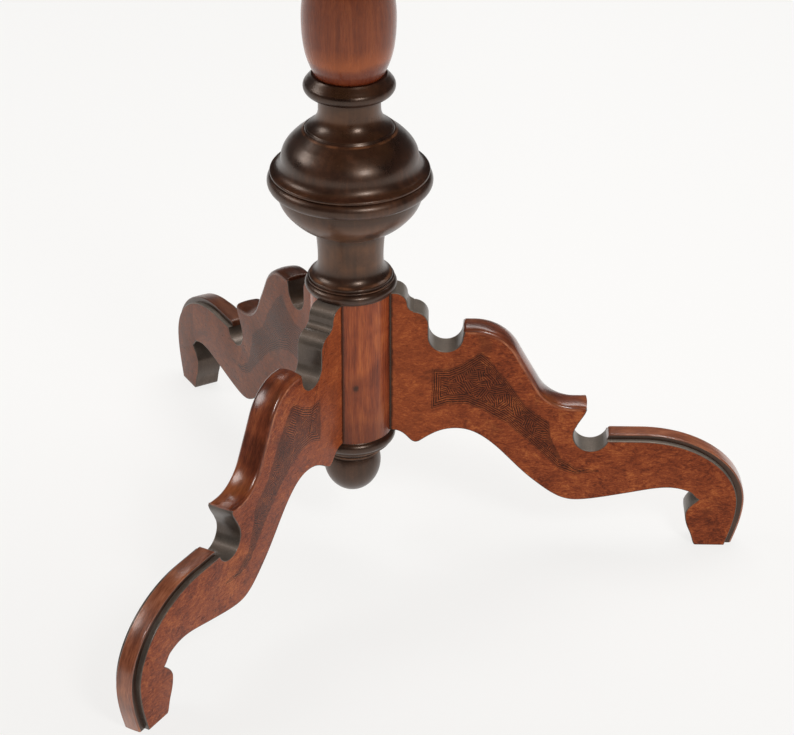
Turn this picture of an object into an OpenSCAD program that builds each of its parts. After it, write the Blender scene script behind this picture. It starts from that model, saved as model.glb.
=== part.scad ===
// Tilt top pillar table on three scrolled plank legs.
// Origin: on the floor, on the pillar's axis. +Z is up. Leg "a" points along +X.
// The top turns up about the pivot pins, which lie along Y at the -X edge of the block.

/* [Table] */
// Height of the top's face above the floor
table_h = 745; // [735:1:765]
// Radius of the round top, over its edge moulding
top_r = 400; // [385:1:405]
// Thickness of the glued-up boards
board_t = 19; // [17:0.5:22]
// Thickness of the veneer on the top
top_veneer_t = 1; // [0.8:0.1:1.5]
// Width of the moulding round the top
edge_w = 14; // [10:1:20]

/* [Legs] */
// Thickness of a leg over its two veneers
leg_t = 25; // [23:0.5:28]
// Thickness of the veneer on a leg's faces
leg_veneer_t = 0.8; // [0.6:0.1:1.2]
// Width of the raised strip on a foot
strip_w = 15.5; // [12:0.5:18]
// Height of the raised strip above the foot's edge
strip_h = 5; // [3:0.5:6]
// How far the raised strip stands out at the toe
toe_strip_h = 7; // [5:0.5:8]

/* [Pillar] */
// Radius of the plain cylinder that the legs are housed in
core_r = 36.5; // [36:0.1:37]
// Radius of the post that the turned pieces are threaded on
post_r = 12; // [10:0.5:13]

/* [Tilting block] */
// Half the width of the block along the pivot line
block_half_w = 70; // [65:1:80]
// Thickness of the block
block_t = 36; // [32:1:38]
// Distance of the pivot line from the pillar's axis
pivot_x = 66; // [62:1:70]
// Radius of a pivot pin
pin_r = 8; // [6:0.5:9]
// Thickness of a bearer
bearer_t = 25; // [20:1:30]
// Half the length of a bearer
bearer_half_l = 300; // [280:5:320]

/* [Catch] */
// Travel of the bolt
bolt_travel = 14; // [12:1:15]
// Width of the bolt
bolt_w = 12; // [10:0.5:14]
// Thickness of the bolt
bolt_t = 6; // [5:0.5:6]

/* [Hidden] */
$fn = 96;

// Colours
ebony = "#1f1a17";
burl = "#8c4b2d";
red_wood = "#7a3620";
pine = "#c19a6b";
brass = "#b08d4a";

// Clearances: glued joints, the turning pins and the sliding bolt
glue_gap = 0.1;
pin_gap = 0.06;
slide_gap = 0.08;
side_gap = 0.5;
nose_gap = 0.4;

// Heights of the pillar's pieces, from the floor
core_z0 = 119;
core_z1 = 261;
neck_z = 319.5;
flange_z = 374;
dome_z = 388.5;
ring_z0 = 447;
ring_z1 = 466;
collar_z0 = 96;
tip_z = 53;
ball_z = 83;
ball_r = 26;

// Heights that follow from the table's own
under_z = table_h - board_t - top_veneer_t;
block_z0 = under_z - block_t;
capital_h = 38;
capital_z0 = block_z0 - capital_h;
pivot_z = under_z - block_t / 2;
nose_r = block_t / 2 - nose_gap;
block_x1 = 85;

// Legs and their housings
leg_angles = [0, 120, 240];
plank_t = leg_t - 2 * leg_veneer_t;
housing_r = 33;
veneer_r = 35;
foot_r = 343;
toe_r = 352.5;
toe_z = 45;
toe_start_r = 262;
foot_top_z = 110.5;
lip_r = 231.4;
dowel_r = 5;
dowel_r0 = 16;
dowel_r1 = 58;
dowel_zs = [150, 190, 230];

// Top, glued up from four boards
board_r = top_r - edge_w;
board_w = board_r / 2;
lip_drop = 4;
bearer_y0 = block_half_w + side_gap;
bearer_taper_l = 60;
bearer_end_h = 16;

// Screws
screw_r = 2.25;
screw_head_r = 4.5;
screw_head_h = 3;
screw_gap = 0.05;
bearer_screw_xs = [-250, -110, 110, 250];
bearer_sink = 14;
bearer_screw_in = 13;
bearer_screw_l = block_t - bearer_sink + bearer_screw_in;
small_screw_l = 11;
small_screw_r = 1.4;
small_head_r = 2.8;
small_head_h = 1.5;

// Catch
case_x0 = 90;
case_l = 52;
case_w = 24;
case_flange_w = 44;
case_flange_t = 2;
case_h = 14;
case_floor_t = 3;
bolt_l = 62;
bolt_z = under_z - case_h + case_floor_t;
knob_x = case_x0 + 26;
knob_r = 7;
knob_stem_r = 2.5;
keeper_t = 1.5;
keeper_half_w = 18;
keeper_h = 26;
mortise_l = 13;

// ---- Curves in a plane, as lists of points ----

// Arc about c from angle a0 to a1, with radii rx and ry
function arc(c, rx, ry, a0, a1, n = 12) =
    [for (i = [0:n]) let (a = a0 + (a1 - a0) * i / n) [c.x + rx * cos(a), c.y + ry * sin(a)]];

// Cubic curve from p to s with the handles q and r, without its first point
function curve(p, q, r, s, n = 8) =
    [for (i = [1:n]) let (t = i / n, u = 1 - t)
        u * u * u * p + 3 * u * u * t * q + 3 * u * t * t * r + t * t * t * s];

// The same list, last point first
function reversed(list) = [for (i = [len(list) - 1:-1:0]) list[i]];

// ---- Leg outline, as [distance from the axis, height] ----

// Scalloped shoulder and the first round notch, from the pillar outwards
function shoulder(r0) = concat(
    [[r0, core_z1]],
    arc([38.5, 249.3], 11.7, 11.7, 90, 5, 6),
    arc([57.2, 250], 7, 7, 187, 255, 5),
    arc([55.5, 229], 13.4, 13.4, 90, 0, 8),
    arc([84.2, 217.5], 15.3, 15.3, 180, 360, 18)
);

// Knee, from the notch's lip to the beak
beak = [212.4, 146.4];
function knee() = concat(
    arc([102.7, 222.3], 3.2, 3.2, 180, 90, 5),
    arc([110, 180], 45.5, 45.5, 90, 27, 12),
    arc([201, 183.3], 36, 36, 207, 270, 10),
    [beak]
);

// Hollow under the beak, with the second round notch
function second_notch() = concat(
    curve(beak, [213, 139.5], [205.4, 131.5], [203.2, 125.4], 7),
    arc([216.8, 116.5], 16.2, 16.2, 152, 335, 18)
);

// Top of the foot and its toe, raised by up and moved outwards by out
function toe(up, out) = concat(
    [[lip_r + up / 2, foot_top_z + up]],
    arc([toe_start_r, toe_z], toe_r - toe_start_r + out, foot_top_z - toe_z + up, 90, 0, 20),
    curve([toe_r + out, toe_z], [toe_r + out, 30], [foot_r + out + 5, 15], [foot_r + out, 0])
);

// Inside of the foot with its hook, from the floor up
hook_tip = [317.4, 49.2];
hook_top = [307.2, 57.9];
function hook() = concat(
    [[316.5, 0]],
    curve([316.5, 0], [313.4, 0.4], [313.8, 8.5], [309.4, 17], 5),
    curve([309.4, 17], [306.7, 23], [305.4, 29], [305.8, 35], 4),
    curve([305.8, 35], [308.2, 42], [312.6, 45], hook_tip, 4),
    curve(hook_tip, [312.8, 51.2], [312, 56.4], hook_top, 4)
);

// Underside, from the hook back to the pillar
arch = [288, 61.6];
low = [204, 48];
rise = [164, 69.8];
haunch = [127, 107.6];
crown = [94.5, 122.8];
tooth = [57.8, 108];
function underside(r0) = concat(
    curve(hook_top, [301, 60.5], [295, arch.y], arch, 3),
    curve(arch, [276, arch.y], [262, 57.5], [245, 54.2], 6),
    curve([245, 54.2], [232, 51.6], [216, low.y], low, 6),
    curve(low, [190, low.y], [180, 56], rise, 6),
    curve(rise, [150, 82], [139, 97], haunch, 5),
    curve(haunch, [115.5, 117.8], [106, crown.y], crown, 6),
    curve(crown, [82, crown.y], [74, 118], [66.4, 112.7], 5),
    curve([66.4, 112.7], [63, 110.3], [60.5, tooth.y], tooth, 4),
    curve(tooth, [51.5, tooth.y], [49.5, 119.5], [38, 120.5], 7),
    [[r0, 120.5]]
);

function leg_outline(r0) =
    concat(shoulder(r0), knee(), second_notch(), toe(0, 0), hook(), underside(r0));

// ---- Turned outlines, as [radius, height] ----

function base_profile() = concat(
    [[post_r + glue_gap, core_z1], [38, core_z1]],
    arc([34, 266.2], 6.8, 5.2, -54, 66, 12),
    [[37, 271.3], [38.1, 271.7]],
    arc([37.8, 272.4], 0.8, 0.7, -50, 80, 4),
    [[36.8, 273.4]],
    arc([35.9, 274.6], 1.3, 1.3, -50, 75, 5),
    curve([36.2, 275.9], [30.6, 278.4], [28.9, 283], [28.9, 292], 9),
    curve([28.9, 292], [28.9, 302], [29.8, 310], [31, neck_z], 6),
    [[post_r + glue_gap, neck_z]]
);

function bowl_lower_profile() = concat(
    [[post_r + glue_gap, neck_z], [31.4, neck_z], [32, neck_z + 0.6], [31.9, neck_z + 1.6]],
    curve([31.9, neck_z + 1.6], [42, 323.8], [50.4, 331], [57.1, 339.4], 8),
    curve([57.1, 339.4], [60.8, 344], [63.2, 350], [64, 356], 6),
    [[64.2, 358.4], [65.2, 359.4]],
    arc([65.8, 366.4], 6.4, 7, -80, 78, 14),
    [[66.8, flange_z], [post_r + glue_gap, flange_z]]
);

function bowl_upper_profile() = concat(
    [[post_r + glue_gap, flange_z], [68.4, flange_z]],
    arc([68.1, 375.5], 1.6, 1.6, -55, 70, 6),
    curve([67.8, 377.4], [63.6, 378.2], [60.6, 382], [59.9, dome_z], 8),
    curve([59.9, dome_z], [59, 397], [54.2, 401.9], [48.8, 407.2], 10),
    curve([48.8, 407.2], [45, 410.4], [42.4, 412.8], [39.8, 414.8], 4),
    [[39.2, 414.6], [38.8, 415.4], [38.2, 416.2], [37.8, 416], [37.4, 416.8]],
    curve([37.4, 416.8], [32.8, 420], [27.4, 424.5], [27.1, 433], 9),
    curve([27.1, 433], [27, 438], [27, 441], [27.1, ring_z0 - 2.2], 4),
    [[28.2, ring_z0 - 1.8], [28.8, ring_z0 - 1], [28.6, ring_z0], [post_r + glue_gap, ring_z0]]
);

function ring_profile() = concat(
    [[post_r + glue_gap, ring_z0], [30, ring_z0], [30.6, ring_z0 + 0.6]],
    arc([31.8, 455], 8, 7.2, -82, 42, 14),
    curve([37.75, 459.8], [36.4, 461.6], [35, 463], [33.4, ring_z1 - 1.2], 4),
    [[32.6, ring_z1], [post_r + glue_gap, ring_z1]]
);

belly = [40.4, 517];
neck_r = 23.5;
function baluster_profile() = concat(
    [[post_r + glue_gap, ring_z1], [29.9, ring_z1], [30.4, ring_z1 + 0.5]],
    curve([30.4, ring_z1 + 0.5], [33.4, 475], [40.3, 483], belly, 14),
    curve(belly, [40.4, 550], [neck_r, capital_z0 - 60], [neck_r, capital_z0 - 14], 16),
    curve([neck_r, capital_z0 - 14], [neck_r, capital_z0 - 8], [25, capital_z0 - 4], [26, capital_z0], 4),
    [[post_r + glue_gap, capital_z0]]
);

function capital_profile() = concat(
    [[post_r + glue_gap, capital_z0], [28, capital_z0]],
    arc([28, capital_z0 + 6], 6, 6, -90, 90, 12),
    [[27, capital_z0 + 12]],
    curve([27, capital_z0 + 12], [25, capital_z0 + 22], [31, capital_z0 + 29], [40, capital_z0 + 31], 8),
    arc([40, capital_z0 + 34.5], 3.5, 3.5, -90, 90, 8),
    [[post_r + glue_gap, capital_z0 + capital_h]]
);

spigot_r = 8;
spigot_top = 144;
function collar_profile() = concat(
    [[spigot_r + glue_gap, collar_z0], [26.6, collar_z0], [27.3, 96.6], [27.3, 98.4], [26.9, 99]],
    curve([26.9, 99], [28, 101.5], [31, 104], [34.2, 105], 6),
    [[35.3, 105.5], [35.6, 106.4], [35.4, 107.6]],
    arc([35.2, 113.2], 4.2, 5.2, -68, 75, 10),
    [[35.8, core_z0], [spigot_r + glue_gap, core_z0]]
);

// Ball with a small button under it, and a spigot up into the core
function finial_profile() = concat(
    [[0, tip_z]],
    arc([0, ball_z], ball_r, ball_z - tip_z, -84, 0, 15),
    arc([0, ball_z], ball_r, ball_r, 6, 30, 5),
    [[spigot_r, collar_z0], [spigot_r, spigot_top], [0, spigot_top]]
);

module turned(profile, colour) {
    color(colour) rotate_extrude() polygon(profile);
}

// ---- Legs ----

// Places its children at each leg's bearing
module at_leg(angle) {
    rotate([0, 0, angle]) children();
}

// Upright sheet of the given outline and thickness, with its middle at offset s
module upright(outline, t, s = 0) {
    translate([0, s + t / 2, 0]) rotate([90, 0, 0]) linear_extrude(t) polygon(outline);
}

module dowel_row(r) {
    for (z = dowel_zs) translate([dowel_r0, 0, z]) rotate([0, 90, 0]) cylinder(r = r, h = dowel_r1 - dowel_r0);
}

module leg(angle) {
    color(ebony) at_leg(angle) difference() {
        upright(leg_outline(housing_r), plank_t);
        dowel_row(dowel_r + screw_gap);
    }
}

module leg_veneer(angle, side) {
    color(burl) at_leg(angle)
        upright(leg_outline(veneer_r), leg_veneer_t, side * (plank_t + leg_veneer_t) / 2);
}

module foot_strip(angle) {
    color(red_wood) at_leg(angle)
        upright(concat([[lip_r, foot_top_z]], toe(strip_h, toe_strip_h), reversed(toe(0, 0))), strip_w);
}

module leg_dowels() {
    color(pine) for (angle = leg_angles) at_leg(angle) dowel_row(dowel_r);
}

// ---- Pillar ----

wedge_t = 2.4;
wedge_h = 26;
post_top = under_z - 0.5;

module wedge_slot(t, w) {
    translate([-t / 2, -w, post_top - wedge_h]) cube([t, 2 * w, wedge_h]);
}

module core_post() {
    color(red_wood) difference() {
        union() {
            translate([0, 0, core_z0]) cylinder(r = core_r, h = core_z1 - core_z0);
            cylinder_between(post_r, core_z0, post_top);
        }
        for (angle = leg_angles) at_leg(angle) {
            translate([housing_r, -plank_t / 2, 120.5]) cube([20, plank_t, core_z1 - 120.5 + 1]);
            dowel_row(dowel_r + screw_gap);
        }
        cylinder_between(spigot_r + glue_gap, core_z0 - 1, spigot_top + 2);
        wedge_slot(wedge_t, post_r + 1);
    }
}

module cylinder_between(r, z0, z1) {
    translate([0, 0, z0]) cylinder(r = r, h = z1 - z0);
}

module tenon_wedge() {
    color(pine) wedge_slot(wedge_t, post_r - 1);
}

// ---- Block and pivots ----

module top_block() {
    color(red_wood) difference() {
        union() {
            translate([-pivot_x, -block_half_w, block_z0 + nose_gap])
                cube([pivot_x + block_x1, 2 * block_half_w, block_t - nose_gap]);
            translate([-pivot_x, 0, pivot_z]) rotate([90, 0, 0])
                cylinder(r = nose_r, h = 2 * block_half_w, center = true);
            cylinder_between(42, block_z0, block_z0 + 1);
        }
        cylinder_between(post_r + glue_gap, block_z0 - 1, under_z + 1);
        pin_pair(pin_r + screw_gap, block_half_w - 40);
        translate([block_x1 - mortise_l, -bolt_w / 2 - 1, bolt_z - 1])
            cube([mortise_l + 1, bolt_w + 2, bolt_t + 2]);
        keeper_screw_holes();
    }
}

// Both pivot pins, from y0 out to the bearers' outer faces
module pin_pair(r, y0) {
    for (side = [-1, 1]) translate([-pivot_x, side * y0, pivot_z]) rotate([-90 * side, 0, 0])
        cylinder(r = r, h = bearer_y0 + bearer_t - y0);
}

module pivot_pins() {
    color(red_wood) pin_pair(pin_r, block_half_w - 38);
}

// ---- Screws ----

// Countersunk screw that points along +Z, with its head's face at the origin
module screw(r, head_r, head_h, l) {
    rotate_extrude() polygon([[0, 0], [head_r, 0], [r, head_h], [r, l - 2], [0, l]]);
}

// Hole for such a screw, open for a length of lead below its head
module screw_hole(r, head_r, head_h, l, lead) {
    g = 2 * screw_gap;
    rotate_extrude()
        polygon([[0, -lead], [head_r + g, -lead], [head_r + g, 0], [r + g, head_h], [r + g, l + 1], [0, l + 1]]);
}

module bearer_screw_rows() {
    for (side = [-1, 1], x = bearer_screw_xs)
        translate([x, side * (bearer_y0 + bearer_t / 2), block_z0 + bearer_sink]) children();
}

module bearer_screws() {
    color(brass) bearer_screw_rows() screw(screw_r, screw_head_r, screw_head_h, bearer_screw_l);
}

module bearer_screw_holes() {
    bearer_screw_rows() screw_hole(screw_r, screw_head_r, screw_head_h, bearer_screw_l, bearer_sink + 1);
}

module catch_screw_rows() {
    for (side = [-1, 1], end = [8, case_l - 8])
        translate([case_x0 + end, side * (case_w + case_flange_w) / 4, under_z - case_flange_t]) children();
}

module catch_screws() {
    color(brass) catch_screw_rows() screw(small_screw_r, small_head_r, small_head_h, small_screw_l);
}

module catch_screw_holes() {
    catch_screw_rows() screw_hole(small_screw_r, small_head_r, small_head_h, small_screw_l, 1);
}

module keeper_screw_places() {
    for (side = [-1, 1])
        translate([block_x1 + keeper_t, side * (keeper_half_w - 5), bolt_z + bolt_t / 2]) rotate([0, -90, 0])
            children();
}

module keeper_screw_holes() {
    keeper_screw_places() screw_hole(small_screw_r, small_head_r, small_head_h, small_screw_l, 1);
}

module keeper_screws() {
    color(brass) keeper_screw_places() screw(small_screw_r, small_head_r, small_head_h, small_screw_l);
}

module keeper_plate() {
    color(brass) difference() {
        translate([block_x1, -keeper_half_w, under_z - 2 - keeper_h])
            cube([keeper_t, 2 * keeper_half_w, keeper_h]);
        translate([block_x1 - 1, -bolt_w / 2 - 0.3, bolt_z - 0.3])
            cube([keeper_t + 2, bolt_w + 0.6, bolt_t + 0.6]);
        keeper_screw_holes();
    }
}

// ---- Top ----

module top_board(i) {
    color(pine) difference() {
        intersection() {
            cylinder_between(board_r, under_z, under_z + board_t);
            translate([-board_r + (i - 1) * board_w, -board_r, under_z]) cube([board_w, 2 * board_r, board_t]);
        }
        bearer_screw_holes();
        catch_screw_holes();
    }
}

module top_veneer() {
    color(burl) cylinder_between(board_r, under_z + board_t, table_h);
}

module edge_moulding() {
    z0 = under_z - lip_drop;
    turned(concat(
        [[board_r, z0], [top_r - 6, z0], [top_r - 5.5, z0 + 3]],
        curve([top_r - 5.5, z0 + 3], [top_r - 5.5, z0 + 7], [top_r - 1, z0 + 7], [top_r - 0.6, z0 + 10], 5),
        arc([top_r - 6, table_h - 8], 6, 8, -45, 90, 12),
        [[board_r, table_h]]
    ), ebony);
}

// Bearer's side view: the ends taper towards the top
module bearer(side) {
    outline = [
        [-bearer_half_l, under_z], [-bearer_half_l, under_z - bearer_end_h],
        [-bearer_half_l + bearer_taper_l, block_z0], [bearer_half_l - bearer_taper_l, block_z0],
        [bearer_half_l, under_z - bearer_end_h], [bearer_half_l, under_z]
    ];
    color(red_wood) difference() {
        upright(outline, bearer_t, side * (bearer_y0 + bearer_t / 2));
        translate([-pivot_x, 0, pivot_z]) rotate([90, 0, 0])
            cylinder(r = pin_r + pin_gap, h = 2 * (bearer_y0 + bearer_t + 1), center = true);
        bearer_screw_holes();
    }
}

// ---- Catch ----

module catch_case() {
    color(brass) difference() {
        union() {
            translate([case_x0, -case_w / 2, under_z - case_h]) cube([case_l, case_w, case_h]);
            translate([case_x0, -case_flange_w / 2, under_z - case_flange_t])
                cube([case_l, case_flange_w, case_flange_t]);
        }
        translate([case_x0 - 1, -bolt_w / 2 - slide_gap, bolt_z - slide_gap])
            cube([case_l + 2, bolt_w + 2 * slide_gap, bolt_t + 2 * slide_gap]);
        translate([knob_x - bolt_travel - 3.5, -knob_stem_r - 0.4, under_z - case_h - 1])
            cube([bolt_travel + 7, 2 * knob_stem_r + 0.8, case_floor_t + 2]);
        catch_screw_holes();
    }
}

module catch_bolt() {
    color(brass) difference() {
        translate([case_x0, -bolt_w / 2, bolt_z]) cube([bolt_l, bolt_w, bolt_t]);
        translate([case_x0, 0, bolt_z - 1]) rotate([0, 45, 0]) translate([-6, -bolt_w, -6])
            cube([6, 2 * bolt_w, 12]);
        translate([knob_x, 0, bolt_z - 1]) cylinder(r = knob_stem_r + screw_gap, h = bolt_t + 0.1);
    }
}

module catch_knob() {
    z0 = under_z - case_h;
    color(brass) translate([knob_x, 0, 0]) rotate_extrude() polygon(concat(
        [[0, bolt_z + bolt_t - 1], [0, z0 - 13]],
        arc([0, z0 - 7], knob_r, 6, -85, 60, 12),
        [[knob_stem_r, z0 - 1.5], [knob_stem_r, bolt_z + bolt_t - 1]]
    ));
}

core_post();
turned(base_profile(), ebony);  // base_moulding
turned(bowl_lower_profile(), ebony);  // bowl_lower
turned(bowl_upper_profile(), ebony);  // bowl_upper
turned(ring_profile(), ebony);  // neck_ring
turned(baluster_profile(), red_wood);  // baluster
turned(capital_profile(), ebony);  // capital
turned(collar_profile(), ebony);  // collar
turned(finial_profile(), ebony);  // finial
leg(leg_angles[0]);  // leg_a
leg(leg_angles[1]);  // leg_b
leg(leg_angles[2]);  // leg_c
leg_veneer(leg_angles[0], 1);  // leg_a_veneer_l
leg_veneer(leg_angles[0], -1);  // leg_a_veneer_r
leg_veneer(leg_angles[1], 1);  // leg_b_veneer_l
leg_veneer(leg_angles[1], -1);  // leg_b_veneer_r
leg_veneer(leg_angles[2], 1);  // leg_c_veneer_l
leg_veneer(leg_angles[2], -1);  // leg_c_veneer_r
foot_strip(leg_angles[0]);  // foot_strip_a
foot_strip(leg_angles[1]);  // foot_strip_b
foot_strip(leg_angles[2]);  // foot_strip_c
leg_dowels();
top_block();
tenon_wedge();
pivot_pins();
keeper_plate();
keeper_screws();
top_board(1);  // top_board_1
top_board(2);  // top_board_2
top_board(3);  // top_board_3
top_board(4);  // top_board_4
top_veneer();
edge_moulding();
bearer(1);  // bearer_l
bearer(-1);  // bearer_r
bearer_screws();
catch_case();
catch_screws();
catch_bolt();
catch_knob();
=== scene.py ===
"""Tilt top table: materials, detail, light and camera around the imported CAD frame."""
import math

import bmesh
import bpy
from mathutils import Matrix, Vector


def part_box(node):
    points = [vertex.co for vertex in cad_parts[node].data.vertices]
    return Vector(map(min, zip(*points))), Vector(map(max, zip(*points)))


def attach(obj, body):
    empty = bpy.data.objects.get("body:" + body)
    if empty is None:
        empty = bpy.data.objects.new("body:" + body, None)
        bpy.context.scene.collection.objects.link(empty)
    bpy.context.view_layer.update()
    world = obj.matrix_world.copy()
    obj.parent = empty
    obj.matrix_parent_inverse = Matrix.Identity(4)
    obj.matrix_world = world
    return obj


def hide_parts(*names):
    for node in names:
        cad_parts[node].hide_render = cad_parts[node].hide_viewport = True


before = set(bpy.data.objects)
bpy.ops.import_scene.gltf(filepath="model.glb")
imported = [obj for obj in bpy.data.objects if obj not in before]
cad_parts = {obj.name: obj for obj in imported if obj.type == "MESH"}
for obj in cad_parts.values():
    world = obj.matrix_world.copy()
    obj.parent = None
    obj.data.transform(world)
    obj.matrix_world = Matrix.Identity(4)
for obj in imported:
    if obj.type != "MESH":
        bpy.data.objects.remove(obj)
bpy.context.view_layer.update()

MM = 0.001

# ---- Sizes in millimetres, the same as the frame's ----

TABLE_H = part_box("top_veneer")[1][2] / MM
TOP_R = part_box("edge_moulding")[1][0] / MM
BOARD_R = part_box("top_veneer")[1][0] / MM
UNDER_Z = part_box("top_board_2")[0][2] / MM
CORE_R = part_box("core_post")[1][0] / MM
CORE_Z0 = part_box("core_post")[0][2] / MM
CORE_Z1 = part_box("base_moulding")[0][2] / MM
POST_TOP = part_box("core_post")[1][2] / MM
CAPITAL_Z0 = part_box("capital")[0][2] / MM
CAPITAL_Z1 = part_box("capital")[1][2] / MM
NECK_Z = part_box("bowl_lower")[0][2] / MM
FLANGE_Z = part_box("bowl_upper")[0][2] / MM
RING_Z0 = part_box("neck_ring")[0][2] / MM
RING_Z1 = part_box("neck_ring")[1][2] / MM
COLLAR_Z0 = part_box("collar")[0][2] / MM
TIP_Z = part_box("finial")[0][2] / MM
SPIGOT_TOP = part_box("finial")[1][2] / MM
BORE_R = 12.1
SPIGOT_R = 8.0
POST_R = 12.0
DOME_Z = 388.5

LEG_ANGLES = {"a": 0.0, "b": 120.0, "c": 240.0}
LEG_T = 25.0
PLANK_T = 23.4
STRIP_W = 15.5
STRIP_H = 5.0
HOUSING_R = 33.0
VENEER_R = 35.0
FOOT_R = 343.0
TOE_R = 352.5
TOE_Z = 45.0
TOE_START_R = 262.0
FOOT_TOP_Z = 110.5
LIP_R = 231.4
BEAK = (212.4, 146.4)


# ---- Outlines as lists of points ----

def arc(cx, cy, rx, ry, a0, a1, n):
    """Points on an elliptical arc, both ends included."""
    turns = [math.radians(a0 + (a1 - a0) * i / n) for i in range(n + 1)]
    return [(cx + rx * math.cos(t), cy + ry * math.sin(t)) for t in turns]


def curve(p, q, r, s, n):
    """Points on a cubic curve from p to s with handles q and r, without p itself."""
    points = []
    for i in range(1, n + 1):
        t = i / n
        u = 1 - t
        weights = (u * u * u, 3 * u * u * t, 3 * u * t * t, t * t * t)
        points.append(tuple(sum(w * c[k] for w, c in zip(weights, (p, q, r, s))) for k in (0, 1)))
    return points


def shoulder(r0):
    """The leg's upper edge by the pillar, with its two steps and the hollow before the knee."""
    return ([(r0, CORE_Z1)] + arc(38.5, 249.3, 11.7, 11.7, 90, 5, 12)
            + arc(57.2, 250, 7, 7, 187, 255, 8) + arc(55.5, 229, 13.4, 13.4, 90, 0, 14)
            + arc(84.2, 217.5, 15.3, 15.3, 180, 360, 36))


def knee():
    """The polished stretch from the top of the knee down to the beak."""
    return (arc(102.7, 222.3, 3.2, 3.2, 180, 90, 8) + arc(110, 180, 45.5, 45.5, 90, 27, 24)
            + [(156.2, 189.9), (162.5, 178.6)] + arc(201, 183.3, 36, 36, 207, 270, 18)
            + [(207, 147.3), BEAK])


def second_notch():
    """Hollow under the beak, down to the lip where the foot's strip starts."""
    return (curve(BEAK, (213.0, 139.5), (205.4, 131.5), (203.2, 125.4), 12)
            + arc(216.8, 116.5, 16.2, 16.2, 152, 335, 36))


def toe(up=0.0, out=0.0, n=40):
    """The foot's upper edge from the notch to the floor, raised by up and moved outwards by out."""
    front, back = TOE_R + out, FOOT_R + out
    return ([(LIP_R + up / 2, FOOT_TOP_Z + up)]
            + arc(TOE_START_R, TOE_Z, front - TOE_START_R, FOOT_TOP_Z - TOE_Z + up, 90, 0, n)
            + curve((front, TOE_Z), (front, 30), (back + 5, 15), (back, 0), 12))


def hook():
    """The heel of the foot, from the sole up to the hooked tip."""
    tip = (317.4, 49.2)
    return ([(316.5, 0)] + curve((316.5, 0), (313.4, 0.4), (313.8, 8.5), (309.4, 17), 8)
            + curve((309.4, 17), (306.7, 23), (305.4, 29), (305.8, 35), 6)
            + curve((305.8, 35), (308.2, 42), (312.6, 45), tip, 6)
            + curve(tip, (312.8, 51.2), (312, 56.4), (307.2, 57.9), 8))


def underside(r0):
    """The leg's lower edge, from the hooked tip back to the pillar."""
    arch, low, rise = (288, 61.6), (204, 48), (164, 69.8)
    haunch, crown, tooth = (127, 107.6), (94.5, 122.8), (57.8, 108)
    return (curve((307.2, 57.7), (301, 60.5), (295, arch[1]), arch, 6)
            + curve(arch, (276, arch[1]), (262, 57.5), (245, 54.2), 12)
            + curve((245, 54.2), (232, 51.6), (216, low[1]), low, 12)
            + curve(low, (190, low[1]), (180, 56), rise, 12)
            + curve(rise, (150, 82), (139, 97), haunch, 10)
            + curve(haunch, (115.5, 117.8), (106, crown[1]), crown, 12)
            + curve(crown, (82, crown[1]), (74, 118), (66.4, 112.7), 9)
            + curve((66.4, 112.7), (63, 110.3), (60.5, tooth[1]), tooth, 8)
            + curve(tooth, (51.5, tooth[1]), (49.5, 119.5), (38, 120.5), 14)
            + [(r0, 120.5)])


def leg_outline(r0):
    """The plank's outline with, for each point, the finish of the edge that starts there."""
    parts = [
        (shoulder(r0), "ebony"), (knee(), "polish"), (second_notch(), "ebony"),
        (toe(), "ebony"), (hook(), "ebony"), (underside(r0), "ebony"),
    ]
    points, finish = [], []
    for stretch, kind in parts:
        for p in stretch:
            if points and math.dist(points[-1], p) < 0.05:
                continue
            points.append(p)
            finish.append(kind)
    return points, finish


# ---- Meshes ----

WELD = 1e-7
SHARP_DEG = 38.0
BEVEL_FROM_DEG = 35.0
BEVEL_SHARP_DEG = 30.0
FLAT_DEG = 0.5


def new_object(name, verts, faces, materials, face_material=None):
    """A mesh in the scene from points in millimetres, shaded smooth apart from its sharp edges."""
    mesh = bpy.data.meshes.new(name)
    mesh.from_pydata([tuple(c * MM for c in v) for v in verts], [], faces)
    for material in materials:
        mesh.materials.append(material)
    if face_material:
        mesh.polygons.foreach_set("material_index", face_material)
    bm = bmesh.new()
    bm.from_mesh(mesh)
    bmesh.ops.remove_doubles(bm, verts=bm.verts, dist=WELD)
    bmesh.ops.triangulate(bm, faces=[f for f in bm.faces if len(f.verts) > 4])
    bmesh.ops.recalc_face_normals(bm, faces=bm.faces)
    bm.to_mesh(mesh)
    bm.free()
    mesh.polygons.foreach_set("use_smooth", [True] * len(mesh.polygons))
    mesh.set_sharp_from_angle(angle=math.radians(SHARP_DEG))
    obj = bpy.data.objects.new(name, mesh)
    bpy.context.scene.collection.objects.link(obj)
    return obj


def stand_for(obj, body, slot, *nodes):
    """Show the object in place of the CAD nodes, on the body given; slot is not used."""
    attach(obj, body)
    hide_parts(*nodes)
    return obj


def turned(node, outline, material, body, slot, segments=144):
    """A piece turned on the lathe: the closed outline of (radius, height) swept round the axis."""
    verts, faces, rings = [], [], []
    for r, z in outline:
        if r < 1e-6:
            rings.append([len(verts)] * segments)
            verts.append((0, 0, z))
            continue
        rings.append(list(range(len(verts), len(verts) + segments)))
        for k in range(segments):
            a = 2 * math.pi * k / segments
            verts.append((r * math.cos(a), r * math.sin(a), z))
    count = len(outline)
    for i in range(count):
        lower, upper = rings[i], rings[(i + 1) % count]
        if lower[0] == lower[1] and upper[0] == upper[1]:
            continue
        for k in range(segments):
            m = (k + 1) % segments
            faces.append(list(dict.fromkeys((lower[k], lower[m], upper[m], upper[k]))))
    obj = new_object("turned_" + node, verts, faces, [material])
    return stand_for(obj, body, slot, node)


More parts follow.
